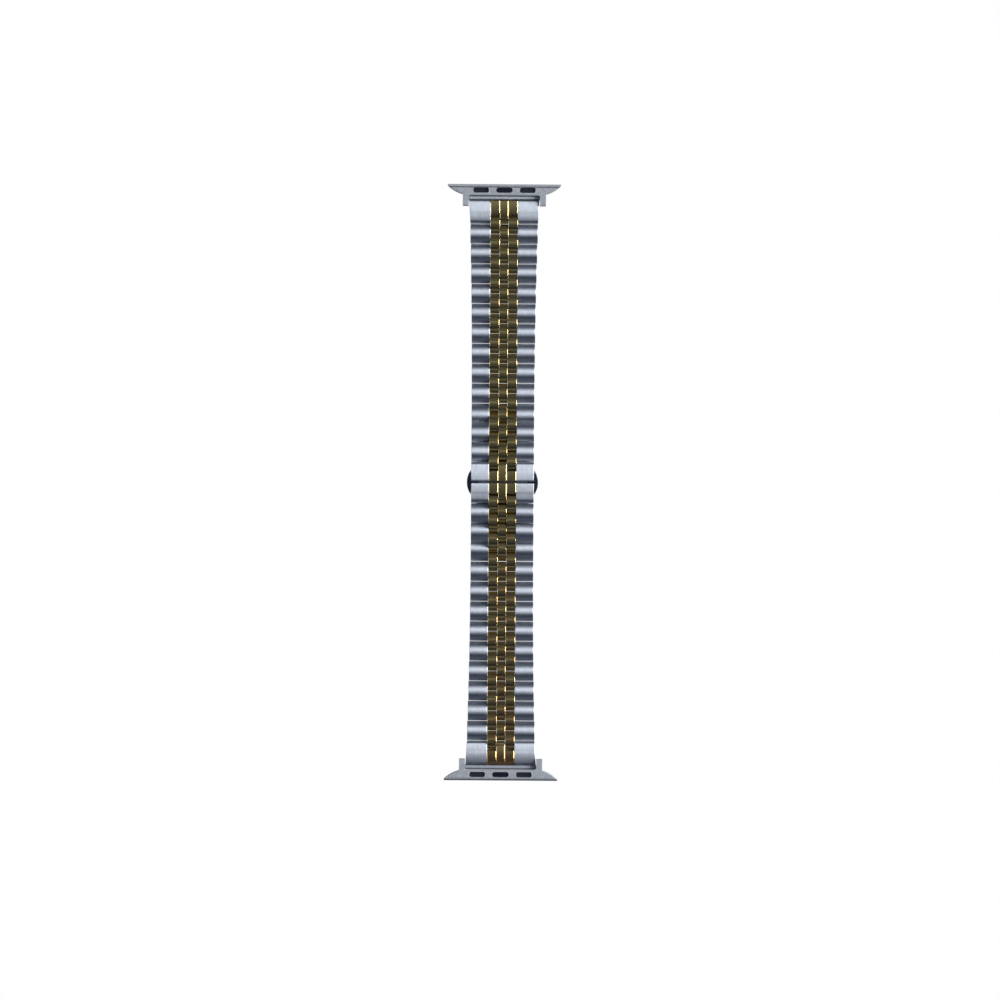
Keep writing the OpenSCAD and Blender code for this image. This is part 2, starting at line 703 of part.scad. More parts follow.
link_row(1, 1);  // link_row_upper_01
link_row(1, 2);  // link_row_upper_02
link_row(1, 3);  // link_row_upper_03
link_row(1, 4);  // link_row_upper_04
link_row(1, 5);  // link_row_upper_05
link_row(1, 6);  // link_row_upper_06
link_row(1, 7);  // link_row_upper_07
link_row(1, 8);  // link_row_upper_08
link_row(1, 9);  // link_row_upper_09
link_row(1, 10);  // link_row_upper_10
link_row(1, 11);  // link_row_upper_11
link_row(1, 12);  // link_row_upper_12
link_row(-1, 1);  // link_row_lower_01
link_row(-1, 2);  // link_row_lower_02
link_row(-1, 3);  // link_row_lower_03
link_row(-1, 4);  // link_row_lower_04
link_row(-1, 5);  // link_row_lower_05
link_row(-1, 6);  // link_row_lower_06
link_row(-1, 7);  // link_row_lower_07
link_row(-1, 8);  // link_row_lower_08
link_row(-1, 9);  // link_row_lower_09
link_row(-1, 10);  // link_row_lower_10
link_row(-1, 11);  // link_row_lower_11
link_row(-1, 12);  // link_row_lower_12
clasp_base();
latch_housing();
housing_rivets();
wing_hinge_pins();
push_button(-1);  // push_button_left
push_button(1);  // push_button_right
button_spring();
wing(1);  // wing_upper
clasp_link(1);  // clasp_link_upper
clasp_inlay(1);  // clasp_inlay_upper
clasp_bar(1);  // clasp_bar_upper
wing(-1);  // wing_lower
clasp_link(-1);  // clasp_link_lower
clasp_inlay(-1);  // clasp_inlay_lower
clasp_bar(-1);  // clasp_bar_lower
end_link(1);  // end_link_upper
end_inlay(1);  // end_inlay_upper
lug_bar(1);  // lug_bar_upper
adapter(1);  // adapter_upper
grip_pads(1);  // grip_pads_upper
latch_tab(1);  // latch_tab_upper
latch_spring(1);  // latch_spring_upper
latch_cover(1);  // latch_cover_upper
end_link(-1);  // end_link_lower
end_inlay(-1);  // end_inlay_lower
lug_bar(-1);  // lug_bar_lower
adapter(-1);  // adapter_lower
grip_pads(-1);  // grip_pads_lower
latch_tab(-1);  // latch_tab_lower
latch_spring(-1);  // latch_spring_lower
latch_cover(-1);  // latch_cover_lower
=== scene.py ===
"""Looks of a two-tone metal watch bracelet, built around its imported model.

The links, beads, end links and springs are rebuilt as closed meshes with soft edges, each in the
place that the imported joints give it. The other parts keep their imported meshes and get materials.
Lengths are in metres.
"""

import json
from functools import wraps
from math import atan2, ceil, copysign, cos, dist, hypot, pi, radians, sin, sqrt, tan

import bmesh
import bpy
from bpy.props import FloatProperty, FloatVectorProperty, PointerProperty
from mathutils import Matrix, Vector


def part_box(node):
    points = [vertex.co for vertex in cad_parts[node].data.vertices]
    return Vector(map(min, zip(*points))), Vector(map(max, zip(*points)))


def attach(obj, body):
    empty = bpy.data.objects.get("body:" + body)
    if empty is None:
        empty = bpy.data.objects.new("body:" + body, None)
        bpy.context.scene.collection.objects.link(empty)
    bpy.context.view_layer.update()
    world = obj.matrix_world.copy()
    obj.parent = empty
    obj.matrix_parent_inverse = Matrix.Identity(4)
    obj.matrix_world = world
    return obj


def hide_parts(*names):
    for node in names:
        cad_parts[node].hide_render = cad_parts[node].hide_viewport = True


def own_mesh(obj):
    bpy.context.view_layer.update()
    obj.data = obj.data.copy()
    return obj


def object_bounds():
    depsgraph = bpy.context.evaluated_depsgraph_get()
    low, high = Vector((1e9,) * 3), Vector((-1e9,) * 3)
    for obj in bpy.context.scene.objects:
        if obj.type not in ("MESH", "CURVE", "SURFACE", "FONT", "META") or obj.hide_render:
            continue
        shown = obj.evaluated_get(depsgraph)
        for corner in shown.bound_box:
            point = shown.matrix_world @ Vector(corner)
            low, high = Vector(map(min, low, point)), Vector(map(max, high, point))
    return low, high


bl_info = {
    "name": "Watch bracelet looks",
    "version": (1, 0, 0),
    "blender": (4, 5, 0),
    "location": "3D View > Sidebar > Bracelet",
    "description": "Dresses a packed watch bracelet with brushed steel and polished gold links",
    "category": "Object",
}

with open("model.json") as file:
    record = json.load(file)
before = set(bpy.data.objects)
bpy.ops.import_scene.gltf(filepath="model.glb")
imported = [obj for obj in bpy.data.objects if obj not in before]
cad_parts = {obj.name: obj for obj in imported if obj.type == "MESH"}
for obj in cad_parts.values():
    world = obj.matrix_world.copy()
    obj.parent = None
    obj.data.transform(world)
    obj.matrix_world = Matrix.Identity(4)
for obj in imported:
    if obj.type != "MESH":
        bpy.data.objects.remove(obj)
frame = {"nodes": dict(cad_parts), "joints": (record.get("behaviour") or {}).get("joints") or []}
cad_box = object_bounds()

MM = 0.001
HALVES = {"upper": 1, "lower": -1}
ROWS = sum(name.startswith("link_row_upper") for name in frame["nodes"])

# How finely round shapes are divided
ROUND_STEPS = 4
OUTLINE_POINTS = 64
BORE_POINTS = 24
TUBE_POINTS = 40
WIRE_SIDES = 8
WIRE_STEPS = 16
LONGEST_EDGE = 0.6 * MM
SHARP_ANGLE = radians(40)

# How sharp the softened corners of a link and of a longer bar stay
LINK_SHARPNESS = 36
BAR_SHARPNESS = 48

# The round end of a middle strip, as a share of half the link thickness
HINGE_ROUND = 0.94

# Small roundings and overlaps inside an end link
BODY_CORNER = 0.1 * MM
BODY_RIM = 0.02 * MM
NECK_CORNER = 0.08 * MM
NECK_RIM = 0.05 * MM
NECK_ROOT = 0.1 * MM
TUBE_RIM = 0.12 * MM

BUTTON_SPRING_TURNS = 9
LATCH_SPRING_TURNS = 2

# Places along the band: where patches of painted copper reflection are strongest, and where an even
# painted copper reflection covers the lower end link
REFLECTION_FULL_Y = -60 * MM
END_REFLECTION_START_Y = -82.5 * MM
END_REFLECTION_FULL_Y = -84.5 * MM

# The painted shade line in the groove of an adapter: half the width of its dark middle, and half its
# whole width
GROOVE_SHADE_MIDDLE = 0.1 * MM
GROOVE_SHADE_EDGE = 0.26 * MM

# How suddenly the rows widen: the higher, the closer to the end link
ROW_WIDENING = 3

# Largest random shift of the marks on a piece, in millimetres
MARK_SHIFT = 100.0

BUMP_DEPTH = 0.01 * MM
FLOOR_CLEARANCE = 0.01 * MM

# Lightness of the room by direction, as (part of the way along Y, share of its lightest tone)
ROOM = (
    (-1, 0.4), (-0.9, 0), (-0.78, 0.8), (-0.66, 0), (-0.36, 0.05), (-0.28, 0.4), (-0.2, 0.1),
    (-0.1, 0.22), (0.05, 0.5), (0.25, 1), (0.34, 0.9), (0.44, 0.25), (0.55, 0.5), (0.72, 0.3),
    (0.86, 0.1), (1, 0.4),
)

# A distance that limits nothing, and a number that counts as zero
NO_LIMIT = 1.0
TINY = 1e-9

# Sockets of a mix node that mixes colours
MIX_FIRST = 6
MIX_SECOND = 7
MIX_RESULT = 2


def number(name, description, value, **kind):
    return FloatProperty(name=name, description=description, default=value, **kind)


def length(name, description, value, least=0):
    """A length property whose default and least value are given in millimetres."""
    return number(name, description, value * MM, min=least * MM, unit="LENGTH", precision=5)


def angle(name, description, degrees):
    """An angle property whose default is given in degrees."""
    return number(name, description, radians(degrees), subtype="ANGLE")


def share(name, description, value):
    return number(name, description, value, min=0, max=1, subtype="FACTOR")


def colour(name, description, value):
    return FloatVectorProperty(
        name=name, description=description, default=value, size=3, min=0, max=1, subtype="COLOR"
    )


class BraceletSizes(bpy.types.PropertyGroup):
    """Sizes of the rebuilt pieces: the solids' own, and finer gaps, bevels, reaches and domes."""

    link_t: length("Link thickness", "Thickness of a link at its crest", 2.9)
    mid_w: length("Centre bead width", "Width of a centre bead", 2.55)
    bead_reach: length("Bead reach", "How much wider a bead is than its solid, a side", 0.035)
    column_gap: length("Column gap", "Gap between two columns of links", 0.03)
    steel_gap: length("Steel gap", "Gap between the round ends of two steel links", 0.08)
    gold_gap: length("Gold gap", "Gap between the round ends of two gold beads", 0.04)
    dome_lean: length("Dome lean", "How far a steel link's crest lies towards its adapter", 0.15)
    dome_r: length("Dome radius", "Radius of the domed top of a link from the side", 4.2)
    back_r: length("Back radius", "Radius of the flatter back of a link", 12)
    row_flare: length("Row flare", "How much wider the last row is than its solid, a side", 0.2)
    pin_r: length("Pin radius", "Radius of a link pin", 0.5)
    pin_fit: length("Pin clearance", "Clearance round a link pin", 0.05)
    pin_recess: length("Pin recess", "How far a pin ends inside the face of a link", 0.15)
    steel_edge: length("Steel edge", "Rounding of the long edges of a steel link", 0.12)
    gold_bevel: length("Bead bevel", "Width of the bevel along the edges of a bead", 0.065)
    bevel_lean: angle("Bead bevel lean", "How far the bevel of a bead leans from the flat", 33)
    strip_bevel: length("Strip bevel", "Width of the bevel along the edges of a strip", 0.17)
    strip_lean: angle("Strip bevel lean", "How far the bevel of a strip leans from the flat", 38)
    strip_t: length("Strip thickness", "Thickness of the gold strips", 0.5)
    strip_fit: length("Strip clearance", "Clearance under the gold strips", 0.05)
    strip_corner: length("Strip corner", "Rounding of a strip's corners from the side", 0.2)
    clasp_end: length("Clasp link end", "Distance from the clasp bar to its link's packed end", 2.2)
    clasp_reach: length("Clasp reach", "How much nearer to each other clasp links come", 0.1)
    clasp_sink: length("Clasp sink", "How much lower clasp links lie than their solids do", 0.02)
    clasp_slant: angle("Clasp slant", "Slant of the ends of clasp links that face each other", 4)
    clasp_dome_r: length("Clasp dome radius", "Radius of the dome of clasp links", 32)
    tongue_back: length("Tongue end", "Distance from the clasp bar to its strip's thick part", 1)
    end_dome_r: length("End link dome radius", "Radius of the dome of end links", 19.5)
    end_flare: length("End link flare", "How far each side of an end link flares out", 0.55)
    lug_reach: length("Lug reach", "How much nearer to the ears an end link comes", 0.1)
    lug_neck_l: length("Neck length", "Distance from the end link's body to the lug bar", 0.8)
    lug_neck_t: length("Neck thickness", "Thickness of the neck beside the lug tube", 1.1)
    lug_tube_r: length("Lug tube radius", "Radius of the tube that holds the lug bar", 0.85)
    lug_tube_h: length("Lug tube height", "Height of the flat along the lug tube's top", 0.74)
    lug_bar_r: length("Lug bar radius", "Radius of the lug bar", 0.55)
    upper_groove: length("Upper groove", "Distance from the upper adapter's edge to it", 0.9)
    lower_groove: length("Lower groove", "Distance from the lower adapter's edge to it", 0.3)
    button_wire_r: length("Button spring wire", "Radius of the button spring's wire", 0.12)
    latch_wire_r: length("Latch spring wire", "Radius of the latch springs' wire", 0.08)


class BraceletColours(bpy.types.PropertyGroup):
    """Colours and finishes of the metals and the rubber."""

    steel: colour("Steel", "Colour of the brushed links", (0.66, 0.68, 0.73))
    gold: colour("Gold", "Colour of the polished beads", (0.86, 0.63, 0.25))
    # Colour of the painted copper reflection on the gold towards the lower end
    copper: colour("Gold tint", "Redder tint in patches of the plating", (0.88, 0.44, 0.17))
    satin: colour("Satin steel", "Colour of the adapters", (0.8, 0.81, 0.84))
    # This dark tone is painted shade, standing in for steel in shadow
    dark: colour("Dark steel", "Colour of the push buttons and their housing", (0.10, 0.11, 0.14))
    rubber: colour("Rubber", "Colour of the grip pads", (0.012, 0.014, 0.022))
    steel_roughness: share("Brushed roughness", "Roughness of the brushed links", 0.42)
    side_roughness: share("Side roughness", "Roughness of the side faces of steel links", 0.6)
    steel_brush: share("Brushed stretch", "How far the brushing stretches reflections", 0.9)
    gold_roughness: share("Polished roughness", "Roughness of the polished beads", 0.09)


class BraceletStage(bpy.types.PropertyGroup):
    """Camera, floor, room and lights."""

    lens: number("Lens", "Focal length of the camera", 300, unit="CAMERA")
    view_width: length("View width", "Width of the picture where the bracelet lies", 309.0)
    centre_x: length("Centre X", "Middle of the picture across the band", -0.72, least=-1000)
    centre_y: length("Centre Y", "Middle of the picture along the band", -5.44, least=-1000)
    roll: angle("Roll", "Turn of the band in the picture", 0.39)
    floor_size: length("Floor size", "Width of the square floor", 8000)
    floor_light: share("Floor light", "Light that the floor throws on the bracelet", 0.35)
    room: colour("Room", "Colour of the dim room where it is lightest", (0.18, 0.21, 0.27))
    dusk: colour("Dusk", "Colour of the dim room where it is darkest", (0.022, 0.032, 0.052))
    side_colour: colour("Side light colour", "Colour of both side lights", (0.93, 0.97, 1.0))
    right_light: number("Right light", "Strength of the low light from the right", 3.9, min=0)
    right_spread: angle("Right light width", "Angle that the light from the right fills", 33)
    right_height: angle("Right light height", "Height of that light above the horizon", 22)
    right_turn: angle("Right light turn", "How far that light stands towards the upper end", 10.5)
    left_light: number("Left light", "Strength of the low light from the left", 0.24, min=0)
    left_spread: angle("Left light width", "Angle that the light from the left fills", 20)
    left_height: angle("Left light height", "Height of that light above the horizon", 14)


def sizes():
    return bpy.context.scene.bracelet_sizes


def colours():
    return bpy.context.scene.bracelet_colours


def joint_named(name):
    return next(joint for joint in frame["joints"] if joint["name"] == name)


def hinge(joint_name):
    """Distance along the band and height of a joint's axis."""
    place = joint_named(joint_name)["pos_m"]
    return place[1], place[2]


def chain(half):
    """Axes of one half from the clasp bar through every row to the lug bar."""
    names = [f"clasp_link_{half}_lift"]
    names += [f"row_{half}_{n:02d}_hinge" for n in range(1, ROWS + 1)]
    names += [f"end_link_{half}_hinge", f"adapter_{half}_hinge"]
    return [hinge(name) for name in names]


def reach(axes, n):
    """Distance between two neighbouring axes of a chain."""
    return dist(axes[n], axes[n + 1])


def row_pitch(axes):
    """Length of a row along the band, which is the same for all rows."""
    return reach(axes, 2)


def placement(half, axes, n):
    """Frame of a link: its origin on axis n of the chain, and its own Y towards axis n + 1."""
    side = HALVES[half]
    start, end = axes[n], axes[n + 1]
    lean = atan2(side * (end[1] - start[1]), abs(end[0] - start[0]))
    turn = Matrix.Rotation(0 if side > 0 else pi, 4, "Z")
    return Matrix.Translation((0, start[0], start[1])) @ Matrix.Rotation(lean, 4, "X") @ turn


def half_width(node):
    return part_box(node)[1].x


# Outlines are lists of (y, z) points, anticlockwise as seen from +X


def to_disc(direction, centre, radius):
    """Distance from the origin to the rim of a disc that holds the origin."""
    along = direction[0] * centre[0] + direction[1] * centre[1]
    return along + sqrt(along ** 2 - centre[0] ** 2 - centre[1] ** 2 + radius ** 2)


def to_line(direction, normal, distance):
    """Distance from the origin to a straight edge, or no limit if the edge is behind."""
    facing = direction[0] * normal[0] + direction[1] * normal[1]
    return distance / facing if facing > TINY else NO_LIMIT


def to_capsule(direction, half_length, radius):
    """Distance from the origin to the rim of a flat bar with round ends."""
    flat = radius / max(abs(direction[1]), TINY)
    if flat * abs(direction[0]) <= half_length:
        return flat
    return to_disc(direction, (copysign(half_length, direction[0]), 0), radius)


def soft_outline(limits, half_length, half_height, middle_y, sharpness):
    """Outline of the common area of several convex shapes, with its corners softened."""
    points = []
    for k in range(OUTLINE_POINTS):
        turn = 2 * pi * k / OUTLINE_POINTS
        y, z = half_length * cos(turn), half_height * sin(turn)
        size = hypot(y, z)
        direction = (y / size, z / size)
        far = sum(limit(direction) ** -sharpness for limit in limits) ** (-1 / sharpness)
        points.append((middle_y + far * direction[0], far * direction[1]))
    return points


def link_outline(pin_y, gap, lean=0):
    """A link about its middle: domed crest, round ends about its two pins, flatter back."""
    s = sizes()
    end_r = pin_y - gap / 2
    limits = [
        lambda d: to_capsule(d, pin_y, end_r),
        lambda d: to_disc(d, (lean, s.link_t / 2 - s.dome_r), s.dome_r),
        lambda d: to_disc(d, (0, s.back_r - s.link_t / 2), s.back_r),
    ]
    return soft_outline(limits, pin_y + end_r, s.link_t / 2, 0, LINK_SHARPNESS)


def bar_outline(y0, y1, round_end, dome_r, slant=0):
    """A clasp link or end link from y0 to y1, round at the end that turns on a pin."""
    half_l = (y1 - y0) / 2
    half_t = sizes().link_t / 2
    flat_end = (-round_end * cos(slant), -sin(slant))
    flat_end_far = half_l * cos(slant) - half_t * sin(slant)
    limits = [
        lambda d: to_capsule(d, half_l - half_t, half_t) if d[0] * round_end > 0 else NO_LIMIT,
        lambda d: to_line(d, flat_end, flat_end_far),
        lambda d: to_line(d, (0, -1), half_t),
        lambda d: to_disc(d, (0, half_t - dome_r), dome_r),
    ]
    return soft_outline(limits, half_l, half_t, (y0 + y1) / 2, BAR_SHARPNESS)


def rounded_corners(corners):
    """Points of a polygon given as (y, z, corner radius), with its corners rounded."""
    points = []
    for k, (y, z, r) in enumerate(corners):
        before = corners[k - 1]
        after = corners[(k + 1) % len(corners)]
        start = atan2(before[1] - z, before[0] - y)
        end = atan2(after[1] - z, after[0] - y)
        opening = (end - start + pi) % (2 * pi) - pi
        half = abs(opening) / 2
        bisector = start + opening / 2
        far = r / sin(half)
        centre = (y + far * cos(bisector), z + far * sin(bisector))
        sweep = copysign(pi - 2 * half, opening)
        for i in range(ROUND_STEPS + 1):
            turn = bisector + pi + sweep / 2 - sweep * i / ROUND_STEPS
            points.append((centre[0] + r * cos(turn), centre[1] + r * sin(turn)))
    return points


def fillet_outline(corners):
    """Outline of a polygon with rounded corners, its long edges divided."""
    points = rounded_corners(corners)
    divided = []
    for k, p in enumerate(points):
        q = points[(k + 1) % len(points)]
        parts = max(1, ceil(dist(p, q) / LONGEST_EDGE))
        for i in range(parts):
            divided.append((p[0] + (q[0] - p[0]) * i / parts, p[1] + (q[1] - p[1]) * i / parts))
    return divided


def box_outline(y0, y1, z0, z1, corner):
    return fillet_outline([(y0, z0, corner), (y1, z0, corner), (y1, z1, corner), (y0, z1, corner)])


def circle_outline(y, z, radius, points=BORE_POINTS):
    turns = [2 * pi * k / points for k in range(points)]
    return [(y + radius * cos(turn), z + radius * sin(turn)) for turn in turns]


def crowned(outline, middle_y, radius, above):
    """The outline with all points above a height lowered as a long dome does."""
    return [(y, z - (y - middle_y) ** 2 / (2 * radius) if z > above else z) for y, z in outline]


def shifted(outline, distance):
    return [(y + distance, z) for y, z in outline]


def shrunk(outline, inset):
    """The outline moved inwards by a distance."""
    moved = []
    for k, (y, z) in enumerate(outline):
        before = outline[k - 1]
        after = outline[(k + 1) % len(outline)]
        along = (after[0] - before[0], after[1] - before[1])
        size = hypot(*along)
        moved.append((y - inset * along[1] / size, z + inset * along[0] / size))
    return moved


def round_rim(radius):
    """Steps of a rounded rim, as (distance from the end face, inset)."""
    turns = [pi / 2 * k / ROUND_STEPS for k in range(ROUND_STEPS + 1)]
    return [(radius * (1 - cos(turn)), radius * (1 - sin(turn))) for turn in turns]


def bevel_rim(width, lean):
    """Steps of a flat bevelled rim with small corners, as (distance from the end face, inset)."""
    depth = width * tan(lean)
    small = width / 6
    run, fall = small * cos(lean), small * sin(lean)
    return [(0, depth + small), (run, depth - fall), (width - run, fall), (width + small, 0)]


def smooth_mesh(bm, name, materials):
    """Turns a finished bmesh into a mesh that is smooth except at its sharp edges."""
    data = bpy.data.meshes.new(name)
    bm.to_mesh(data)
    bm.free()
    data.shade_smooth()
    data.set_sharp_from_angle(angle=SHARP_ANGLE)
    for material in materials:
        data.materials.append(material)
    return data


class Maker:
    """Collects closed solids that are drawn out along X, with a grain map for the brushing.

    Their walls get the first of two materials, their end faces and bores the second.
    """

    def __init__(self, wall_material, end_material):
        self.wall_material = wall_material
        self.end_material = end_material
        self.materials = []
        self.bm = bmesh.new()
        self.grain = self.bm.loops.layers.uv.new("grain")

    def index_of(self, material):
        if material not in self.materials:
            self.materials.append(material)
        return self.materials.index(material)

    def loop(self, outline, x):
        return [self.bm.verts.new((x, y, z)) for y, z in outline]

    def face(self, corners, grain, index):
        face = self.bm.faces.new(corners)
        face.material_index = index
        for corner, place in zip(face.loops, grain):
            corner[self.grain].uv = place

    def walls(self, loops, index, inwards=False):
        """Joins neighbouring loops, which all have as many points."""
        count = len(loops[0])
        steps = [(loops[0][k].co - loops[0][k - 1].co).length for k in range(count)]
        along = [sum(steps[1:k + 1]) for k in range(count)] + [sum(steps)]
        for a, b in zip(loops, loops[1:]):
            for k in range(count):
                n = (k + 1) % count
                corners = [a[k], a[n], b[n], b[k]]
                grain = [(v.co.x, along[i]) for v, i in zip(corners, (k, k + 1, k + 1, k))]
                if inwards:
                    corners, grain = corners[::-1], grain[::-1]
                self.face(corners, grain, index)

    def cap(self, rim, holes, towards, index):
        """Closes a loop with a flat face that leaves its holes open."""
        if not holes:
            corners = rim if towards > 0 else rim[::-1]
            self.face(corners, [(v.co.z, v.co.y) for v in corners], index)
            return
        edges = []
        for ring in [rim, *holes]:
            for k in range(len(ring)):
                pair = (ring[k - 1], ring[k])
                edges.append(self.bm.edges.get(pair) or self.bm.edges.new(pair))
        made = bmesh.ops.triangle_fill(
            self.bm, use_beauty=True, use_dissolve=False, edges=edges, normal=(towards, 0, 0)
        )
        for face in [g for g in made["geom"] if isinstance(g, bmesh.types.BMFace)]:
            face.normal_update()
            if face.normal.x * towards < 0:
                face.normal_flip()
            face.material_index = index
            for corner in face.loops:
                corner[self.grain].uv = (corner.vert.co.z, corner.vert.co.y)

    def prism(self, outline, x0, x1, rim, bores=(), material=None):
        """A solid from x0 to x1 with equal rims and through bores, given as (y, z, radius).

        A material that is given here covers all of it.
        """
        wall_index = self.index_of(material or self.wall_material)
        end_index = self.index_of(material or self.end_material)
        first = len(self.bm.verts)
        stations = [(x0 + shift, inset) for shift, inset in rim]
        stations += [(x1 - shift, inset) for shift, inset in reversed(rim)]
        loops = [self.loop(shrunk(outline, inset), x) for x, inset in stations]
        self.walls(loops, wall_index)
        holes = [[self.loop(circle_outline(*bore), x) for x in (x0, x1)] for bore in bores]
        for hole in holes:
            self.walls(hole, end_index, inwards=True)
        self.cap(loops[0], [hole[0] for hole in holes], -1, end_index)
        self.cap(loops[-1], [hole[1] for hole in holes], 1, end_index)
        self.bm.verts.ensure_lookup_table()
        return self.bm.verts[first:]

    def both(self, outline, x0, x1, rim, bores=()):
        """The same solid on both sides of the middle."""
        right = self.prism(outline, x0, x1, rim, bores)
        return [*right, *self.prism(outline, -x1, -x0, rim, bores)]

    def mesh(self, name):
        return smooth_mesh(self.bm, name, self.materials)


def add_object(name, data):
    added = bpy.data.objects.new(name, data)
    bpy.context.scene.collection.objects.link(added)
    return added


def show(data, matrix, body, slot, *nodes):
    """Puts a mesh in its place on its body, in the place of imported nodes."""
    piece = add_object(data.name, data)
    data.transform(matrix)
    normals = piece.modifiers.new("Even normals", "WEIGHTED_NORMAL")
    normals.keep_sharp = True
    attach(piece, body)
    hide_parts(*nodes)
    return piece


class Columns:
    """Places of the five columns across the band, on its right-hand side."""

    def __init__(self):
        s = sizes()
        self.mid = s.mid_w / 2 + s.bead_reach
        self.side0 = self.mid + s.column_gap
        self.side1 = half_width("end_inlay_upper") + s.bead_reach
        self.outer = self.side1 + s.column_gap


def row_width(half, n):
    """Half the width of a row, which widens mostly in the last few rows before the end link."""
    first = half_width(f"clasp_link_{half}")
    last = half_width(f"link_row_{half}_{ROWS:02d}") + sizes().row_flare
    return first + (last - first) * (n / ROWS) ** ROW_WIDENING


def bores_at(*ys):
    s = sizes()
    return [(y, 0, s.pin_r + s.pin_fit) for y in ys]


def add_pins(maker, *pins):
    """Link pins, given as (y, half the width of the links there)."""
    s = sizes()
    rim = round_rim(s.pin_r / 4)
    for y, end in pins:
        inside = end - s.pin_recess
        maker.prism(circle_outline(y, 0, s.pin_r), -inside, inside, rim, material=pin_steel())


def add_side_beads(maker, pitch):
    """The pair of side beads whose first pin is the origin."""
    s = sizes()
    columns = Columns()
    outline = shifted(link_outline(pitch / 4, s.gold_gap), pitch / 4)
    rim = bevel_rim(s.gold_bevel, s.bevel_lean)
    maker.both(outline, columns.side0, columns.side1, rim, bores_at(0, pitch / 2))


def add_centre_bead(maker, pitch):
    """The centre bead, half a pitch further out than the side beads."""
    s = sizes()
    mid = Columns().mid
    outline = shifted(link_outline(pitch / 4, s.gold_gap), pitch * 3 / 4)
    rim = bevel_rim(s.gold_bevel, s.bevel_lean)
    maker.prism(outline, -mid, mid, rim, bores_at(pitch / 2, pitch))


def gold_row(name, pitch):
    maker = Maker(polished_gold(), dull_gold())
    add_side_beads(maker, pitch)
    add_centre_bead(maker, pitch)
    return maker.mesh(name)


def steel_row(name, pitch, width_before, width):
    """Two outer links and the two pins of a row."""
    s = sizes()
    maker = Maker(brushed_steel(), side_steel())
    outline = shifted(link_outline(pitch / 4, s.steel_gap, s.dome_lean), pitch * 3 / 4)
    rim = round_rim(s.steel_edge)
    maker.both(outline, Columns().outer, width, rim, bores_at(pitch / 2, pitch))
    add_pins(maker, (0, width_before), (pitch / 2, width))
    return maker.mesh(name)


class BRACELET_OT_rows(bpy.types.Operator):
    """Rebuild the rows of steel links and gold beads"""

    bl_idname = "bracelet.rows"
    bl_label = "Rows of links"

    def execute(self, context):
        for half in HALVES:
            axes = chain(half)
            pitch = row_pitch(axes)
            for n in range(1, ROWS + 1):
                node = f"link_row_{half}_{n:02d}"
                body = f"row_{half}_{n:02d}"
                matrix = placement(half, axes, n)
                steel = steel_row(f"steel_{body}", pitch, row_width(half, n - 1), row_width(half, n))
                show(steel, matrix, body, "link_steel", node)
                show(gold_row(f"gold_{body}", pitch), matrix, body, "gold_plate", node)
        return {"FINISHED"}


def hinged_strip(y0, y1, deep_y, round_end):
    """A gold strip from y0 to y1, beyond deep_y as thick as a link, with a round end there."""
    s = sizes()
    top, low, roof = s.link_t / 2, -s.link_t / 2, s.link_t / 2 - s.strip_t
    small, big = s.strip_corner, s.link_t / 2 * HINGE_ROUND
    if round_end > 0:
        corners = [(y0, roof, small), (deep_y, roof, small), (deep_y, low, small),
                   (y1, low, big), (y1, top, big), (y0, top, small)]
    else:
        corners = [(y0, low, big), (deep_y, low, small), (deep_y, roof, small),
                   (y1, roof, small), (y1, top, small), (y0, top, big)]
    return fillet_outline(corners)


def add_strips(maker, side_y0, side_y1, middle_strip, pin_y, dome_y, dome_r):
    """Two side strips and the middle one with its bore, domed like the steel beside them."""
    s = sizes()
    columns = Columns()
    rim = bevel_rim(s.strip_bevel, s.strip_lean)
    top = s.link_t / 2
    above = top - s.strip_t / 2
    side = box_outline(side_y0, side_y1, top - s.strip_t, top, s.strip_corner)
    maker.both(crowned(side, dome_y, dome_r, above), columns.side0, columns.side1, rim)
    middle = crowned(middle_strip, dome_y, dome_r, above)
    maker.prism(middle, -columns.mid, columns.mid, rim, bores_at(pin_y))


def show_link(link, matrix, inlay_node):
    """Puts the steel and gold of a clasp link or end link in their place."""
    show(link.steel(), matrix, link.node, "link_steel", link.node)
    show(link.gold(), matrix, link.node, "gold_plate", inlay_node)


class ClaspLink:
    """A clasp link of one half, along the band from the clasp bar, which is its origin."""

    def __init__(self, half, axes):
        s = sizes()
        pin_half = row_pitch(axes) / 4
        end_r = pin_half - s.steel_gap / 2
        self.node = f"clasp_link_{half}"
        self.pin_y = reach(axes, 0)
        self.start = -s.clasp_end - s.clasp_reach
        self.stop = self.pin_y + end_r
        self.side_stop = self.pin_y - end_r - s.column_gap
        self.dome_y = (self.start + self.pin_y + pin_half) / 2

    def steel(self):
        """The two outer bars."""
        s = sizes()
        maker = Maker(brushed_steel(), side_steel())
        bar = bar_outline(self.start, self.stop, 1, s.clasp_dome_r, s.clasp_slant)
        bores = bores_at(self.pin_y, 0)
        maker.both(bar, Columns().outer, half_width(self.node), round_rim(s.steel_edge), bores)
        return maker.mesh(f"steel_{self.node}")

    def gold(self):
        """The three strips."""
        s = sizes()
        maker = Maker(polished_gold(), dull_gold())
        strip = hinged_strip(self.start, self.stop, s.tongue_back, 1)
        add_strips(maker, self.start, self.side_stop, strip, self.pin_y, self.dome_y, s.clasp_dome_r)
        return maker.mesh(f"gold_{self.node}")


class BRACELET_OT_clasp_links(bpy.types.Operator):
    """Rebuild the steel links and the gold strips beside the clasp"""

    bl_idname = "bracelet.clasp_links"
    bl_label = "Clasp links"

    def execute(self, context):
        for half in HALVES:
            axes = chain(half)
            sink = Matrix.Translation((0, 0, -sizes().clasp_sink))
            matrix = sink @ placement(half, axes, 0)
            show_link(ClaspLink(half, axes), matrix, f"clasp_inlay_{half}")
        return {"FINISHED"}


